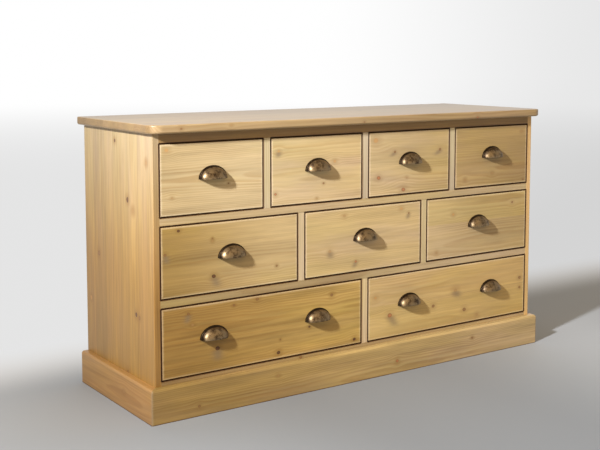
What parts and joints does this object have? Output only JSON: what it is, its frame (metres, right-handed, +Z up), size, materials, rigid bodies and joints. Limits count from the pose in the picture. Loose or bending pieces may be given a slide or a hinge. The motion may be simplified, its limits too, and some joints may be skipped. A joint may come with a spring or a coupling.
{
  "type": "chest of drawers",
  "caption": "Wide floor-standing pine chest with rows of dovetailed drawers on wooden runners, cup pulls, an overhanging rounded top and a mitred plinth.",
  "frame": {"origin": "on the floor, under the middle of the whole chest", "axes": "+X along the front, towards the right end as seen from the front; +Y from the front to the back; +Z up"},
  "size_m": [1.544, 0.512, 0.849],
  "materials": {
    "pine_top": "waxed, slightly paler from light",
    "pine_carcass": "waxed honey pine",
    "pine_fronts": "waxed honey pine",
    "pine_inner": "bare pine",
    "aged_brass": "dark antique patina, polished on the high spots"
  },
  "bodies": {
    "carcass": {"top": "pine_top", "dividers_row_a": "pine_carcass", "dividers_row_b": "pine_carcass", "divider_row_c": "pine_carcass", "rail_top": "pine_carcass", "rail_upper": "pine_carcass", "rail_lower": "pine_carcass", "rail_bottom": "pine_carcass", "rear_rails": "pine_inner", "side_left": "pine_carcass", "side_right": "pine_carcass", "back_boards": "pine_inner", "runners_row_a": "pine_inner", "runners_row_b": "pine_inner", "runners_row_c": "pine_inner", "drawer_guides": "pine_inner", "kickers": "pine_inner", "drawer_stops": "pine_inner", "plinth_front": "pine_carcass", "plinth_left": "pine_carcass", "plinth_right": "pine_carcass", "plinth_back": "pine_inner", "plinth_blocks": "pine_inner"},
    "drawer_a1": {"drawer_a1_front": "pine_fronts", "drawer_a1_box": "pine_inner", "drawer_a1_bottom": "pine_inner", "drawer_a1_pull": "aged_brass"},
    "drawer_a2": {"drawer_a2_front": "pine_fronts", "drawer_a2_box": "pine_inner", "drawer_a2_bottom": "pine_inner", "drawer_a2_pull": "aged_brass"},
    "drawer_a3": {"drawer_a3_front": "pine_fronts", "drawer_a3_box": "pine_inner", "drawer_a3_bottom": "pine_inner", "drawer_a3_pull": "aged_brass"},
    "drawer_a4": {"drawer_a4_front": "pine_fronts", "drawer_a4_box": "pine_inner", "drawer_a4_bottom": "pine_inner", "drawer_a4_pull": "aged_brass"},
    "drawer_b1": {"drawer_b1_front": "pine_fronts", "drawer_b1_box": "pine_inner", "drawer_b1_bottom": "pine_inner", "drawer_b1_pull": "aged_brass"},
    "drawer_b2": {"drawer_b2_front": "pine_fronts", "drawer_b2_box": "pine_inner", "drawer_b2_bottom": "pine_inner", "drawer_b2_pull": "aged_brass"},
    "drawer_b3": {"drawer_b3_front": "pine_fronts", "drawer_b3_box": "pine_inner", "drawer_b3_bottom": "pine_inner", "drawer_b3_pull": "aged_brass"},
    "drawer_c1": {"drawer_c1_front": "pine_fronts", "drawer_c1_box": "pine_inner", "drawer_c1_bottom": "pine_inner", "drawer_c1_pulls": "aged_brass"},
    "drawer_c2": {"drawer_c2_front": "pine_fronts", "drawer_c2_box": "pine_inner", "drawer_c2_bottom": "pine_inner", "drawer_c2_pulls": "aged_brass"}
  },
  "joints": [
    {"name": "drawer_a1_slide", "type": "slide", "parent": "carcass", "child": "drawer_a1", "axis": [0, -1, 0], "range_m": [0, 0.33]},
    {"name": "drawer_a2_slide", "type": "slide", "parent": "carcass", "child": "drawer_a2", "axis": [0, -1, 0], "range_m": [0, 0.33]},
    {"name": "drawer_a3_slide", "type": "slide", "parent": "carcass", "child": "drawer_a3", "axis": [0, -1, 0], "range_m": [0, 0.33]},
    {"name": "drawer_a4_slide", "type": "slide", "parent": "carcass", "child": "drawer_a4", "axis": [0, -1, 0], "range_m": [0, 0.33]},
    {"name": "drawer_b1_slide", "type": "slide", "parent": "carcass", "child": "drawer_b1", "axis": [0, -1, 0], "range_m": [0, 0.33]},
    {"name": "drawer_b2_slide", "type": "slide", "parent": "carcass", "child": "drawer_b2", "axis": [0, -1, 0], "range_m": [0, 0.33]},
    {"name": "drawer_b3_slide", "type": "slide", "parent": "carcass", "child": "drawer_b3", "axis": [0, -1, 0], "range_m": [0, 0.33]},
    {"name": "drawer_c1_slide", "type": "slide", "parent": "carcass", "child": "drawer_c1", "axis": [0, -1, 0], "range_m": [0, 0.33]},
    {"name": "drawer_c2_slide", "type": "slide", "parent": "carcass", "child": "drawer_c2", "axis": [0, -1, 0], "range_m": [0, 0.33]}
  ]
}
